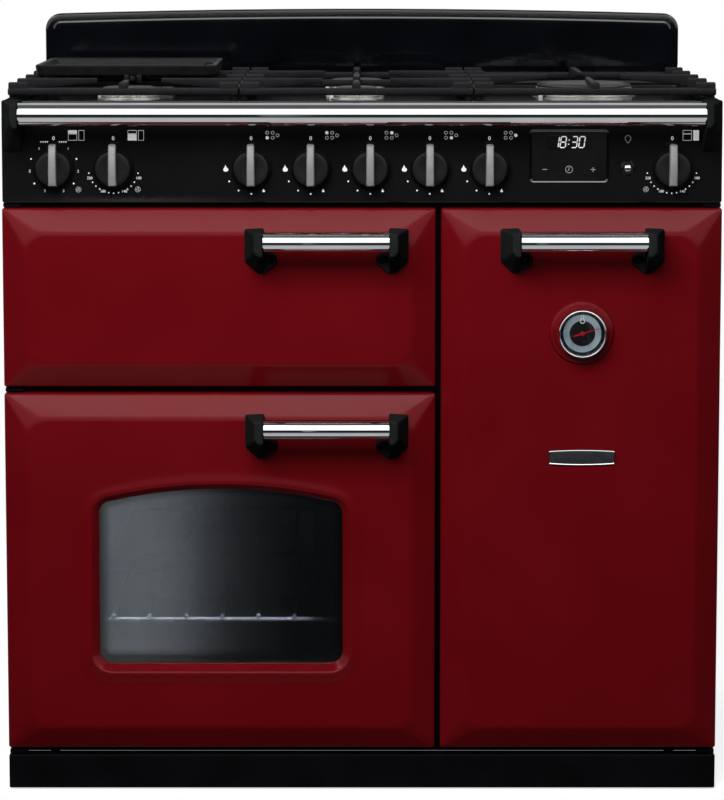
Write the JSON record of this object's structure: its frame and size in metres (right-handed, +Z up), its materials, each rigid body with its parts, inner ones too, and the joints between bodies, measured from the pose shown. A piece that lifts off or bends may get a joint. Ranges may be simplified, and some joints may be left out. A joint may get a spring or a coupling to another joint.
{
  "type": "range cooker",
  "caption": "Free-standing range cooker with a gas hob, griddle, grill, windowed main oven and tall fan oven, with side-hung pressed doors and a front handrail.",
  "frame": {"origin": "middle of the footprint on the floor", "axes": "+X to the viewer's right, +Y to the rear wall, +Z up; the doors face -Y"},
  "size_m": [0.9, 0.663, 0.9749],
  "materials": {
    "red_enamel": "gloss vitreous enamel",
    "black_enamel": "gloss vitreous enamel",
    "black_satin": "satin coat",
    "zinc_steel": "zinc-coated sheet",
    "oven_enamel": "grey-black speckled enamel",
    "polished_chrome": "polished",
    "black_plastic": "satin moulded",
    "knob_plastic": "satin black skirt with a silver grip",
    "clock_plastic": "gloss black window",
    "cast_iron": "matt enamelled casting",
    "burner_alloy": "cast, bare",
    "burner_enamel": "matt black enamel",
    "window_glass": "tinted oven glass",
    "seal_rubber": "woven and silicone gasket",
    "plain_steel": "plain steel",
    "gas_brass": "plain brass",
    "needle_red": "red lacquer"
  },
  "bodies": {
    "cooker": {"side_panels": "black_satin", "back_panel": "zinc_steel", "base_tray": "zinc_steel", "levelling_feet": "black_plastic", "plinth": "black_satin", "front_frame": "black_enamel", "grill_liner": "oven_enamel", "main_oven_liner": "oven_enamel", "tall_oven_liner": "oven_enamel", "hob_tray": "black_enamel", "upstand": "black_enamel", "control_panel": "black_enamel", "handrail": "polished_chrome", "handrail_brackets": "black_plastic", "clock_module": "clock_plastic", "gas_manifold": "gas_brass", "oven_controls": "black_plastic", "burner_heads": "burner_alloy", "burner_caps": "burner_enamel", "heating_elements": "plain_steel", "oven_fan_units": "plain_steel", "oven_shelves": "polished_chrome", "grill_pan": "oven_enamel", "hinge_brackets": "black_satin", "door_seals": "seal_rubber"},
    "grill_door": {"grill_door_skin": "red_enamel", "grill_door_inner": "oven_enamel", "grill_door_handle_bar": "polished_chrome", "grill_door_handle_brackets": "black_plastic"},
    "main_door": {"main_door_skin": "red_enamel", "main_door_inner": "oven_enamel", "main_door_panes": "window_glass", "main_door_handle_bar": "polished_chrome", "main_door_handle_brackets": "black_plastic"},
    "tall_door": {"tall_door_skin": "red_enamel", "tall_door_inner": "oven_enamel", "tall_door_handle_bar": "polished_chrome", "tall_door_handle_brackets": "black_plastic", "gauge_case": "polished_chrome"},
    "gauge_needle": {"gauge_needle": "needle_red"},
    "grill_knob": {"grill_knob": "knob_plastic"},
    "main_oven_knob": {"main_oven_knob": "knob_plastic"},
    "tall_oven_knob": {"tall_oven_knob": "knob_plastic"},
    "gas_spindle_1": {"gas_spindle_1": "plain_steel"},
    "gas_knob_1": {"gas_knob_1": "knob_plastic"},
    "gas_spindle_2": {"gas_spindle_2": "plain_steel"},
    "gas_knob_2": {"gas_knob_2": "knob_plastic"},
    "gas_spindle_3": {"gas_spindle_3": "plain_steel"},
    "gas_knob_3": {"gas_knob_3": "knob_plastic"},
    "gas_spindle_4": {"gas_spindle_4": "plain_steel"},
    "gas_knob_4": {"gas_knob_4": "knob_plastic"},
    "gas_spindle_5": {"gas_spindle_5": "plain_steel"},
    "gas_knob_5": {"gas_knob_5": "knob_plastic"},
    "light_button": {"light_button": "polished_chrome"},
    "main_oven_fan": {"main_oven_fan": "plain_steel"},
    "tall_oven_fan": {"tall_oven_fan": "plain_steel"},
    "pan_support_left": {"pan_support_left": "cast_iron"},
    "pan_support_centre": {"pan_support_centre": "cast_iron"},
    "pan_support_right": {"pan_support_right": "cast_iron"},
    "griddle": {"griddle": "cast_iron"}
  },
  "joints": [
    {"name": "grill_door_hinge", "type": "hinge", "parent": "cooker", "child": "grill_door", "pos_m": [-0.44, -0.25, 0.63], "axis": [0, 0, -1], "range_deg": [0, 110]},
    {"name": "main_door_hinge", "type": "hinge", "parent": "cooker", "child": "main_door", "pos_m": [-0.44, -0.25, 0.283], "axis": [0, 0, -1], "range_deg": [0, 110]},
    {"name": "tall_door_hinge", "type": "hinge", "parent": "cooker", "child": "tall_door", "pos_m": [0.44, -0.25, 0.399], "axis": [0, 0, 1], "range_deg": [0, 110]},
    {"name": "gauge_needle_turn", "type": "hinge", "parent": "tall_door", "child": "gauge_needle", "pos_m": [0.27325, -0.29, 0.589], "axis": [0, 1, 0], "range_deg": [-208, 62]},
    {"name": "grill_knob_turn", "type": "hinge", "parent": "cooker", "child": "grill_knob", "pos_m": [-0.38243, -0.272, 0.7924], "axis": [0, 1, 0], "range_deg": [-150, 150]},
    {"name": "main_oven_knob_turn", "type": "hinge", "parent": "cooker", "child": "main_oven_knob", "pos_m": [-0.30854, -0.272, 0.7924], "axis": [0, 1, 0], "range_deg": [0, 259]},
    {"name": "tall_oven_knob_turn", "type": "hinge", "parent": "cooker", "child": "tall_oven_knob", "pos_m": [0.38472, -0.272, 0.7924], "axis": [0, 1, 0], "range_deg": [0, 259]},
    {"name": "gas_spindle_1_push", "type": "slide", "parent": "cooker", "child": "gas_spindle_1", "axis": [0, 1, 0], "range_m": [0, 0.004], "stiffness_N_per_m": 400},
    {"name": "gas_knob_1_turn", "type": "hinge", "parent": "gas_spindle_1", "child": "gas_knob_1", "pos_m": [-0.1375, -0.272, 0.7924], "axis": [0, -1, 0], "range_deg": [0, 210]},
    {"name": "gas_spindle_2_push", "type": "slide", "parent": "cooker", "child": "gas_spindle_2", "axis": [0, 1, 0], "range_m": [0, 0.004], "stiffness_N_per_m": 400},
    {"name": "gas_knob_2_turn", "type": "hinge", "parent": "gas_spindle_2", "child": "gas_knob_2", "pos_m": [-0.06361, -0.272, 0.7924], "axis": [0, -1, 0], "range_deg": [0, 210]},
    {"name": "gas_spindle_3_push", "type": "slide", "parent": "cooker", "child": "gas_spindle_3", "axis": [0, 1, 0], "range_m": [0, 0.004], "stiffness_N_per_m": 400},
    {"name": "gas_knob_3_turn", "type": "hinge", "parent": "gas_spindle_3", "child": "gas_knob_3", "pos_m": [0.01027, -0.272, 0.7924], "axis": [0, -1, 0], "range_deg": [0, 210]},
    {"name": "gas_spindle_4_push", "type": "slide", "parent": "cooker", "child": "gas_spindle_4", "axis": [0, 1, 0], "range_m": [0, 0.004], "stiffness_N_per_m": 400},
    {"name": "gas_knob_4_turn", "type": "hinge", "parent": "gas_spindle_4", "child": "gas_knob_4", "pos_m": [0.08415, -0.272, 0.7924], "axis": [0, -1, 0], "range_deg": [0, 210]},
    {"name": "gas_spindle_5_push", "type": "slide", "parent": "cooker", "child": "gas_spindle_5", "axis": [0, 1, 0], "range_m": [0, 0.004], "stiffness_N_per_m": 400},
    {"name": "gas_knob_5_turn", "type": "hinge", "parent": "gas_spindle_5", "child": "gas_knob_5", "pos_m": [0.15804, -0.272, 0.7924], "axis": [0, -1, 0], "range_deg": [0, 210]},
    {"name": "light_button_push", "type": "slide", "parent": "cooker", "child": "light_button", "axis": [0, 1, 0], "range_m": [0, 0.003], "stiffness_N_per_m": 300},
    {"name": "main_oven_fan_spin", "type": "hinge", "parent": "cooker", "child": "main_oven_fan", "pos_m": [-0.178, 0.155, 0.283], "axis": [0, 1, 0], "continuous": true},
    {"name": "tall_oven_fan_spin", "type": "hinge", "parent": "cooker", "child": "tall_oven_fan", "pos_m": [0.27325, 0.155, 0.398], "axis": [0, 1, 0], "continuous": true},
    {"name": "pan_support_left_lift", "type": "slide", "parent": "cooker", "child": "pan_support_left", "axis": [0, 0, 1], "range_m": [0, 0.12]},
    {"name": "pan_support_centre_lift", "type": "slide", "parent": "cooker", "child": "pan_support_centre", "axis": [0, 0, 1], "range_m": [0, 0.12]},
    {"name": "pan_support_right_lift", "type": "slide", "parent": "cooker", "child": "pan_support_right", "axis": [0, 0, 1], "range_m": [0, 0.12]},
    {"name": "griddle_lift", "type": "slide", "parent": "pan_support_left", "child": "griddle", "axis": [0, 0, 1], "range_m": [0, 0.1]}
  ]
}
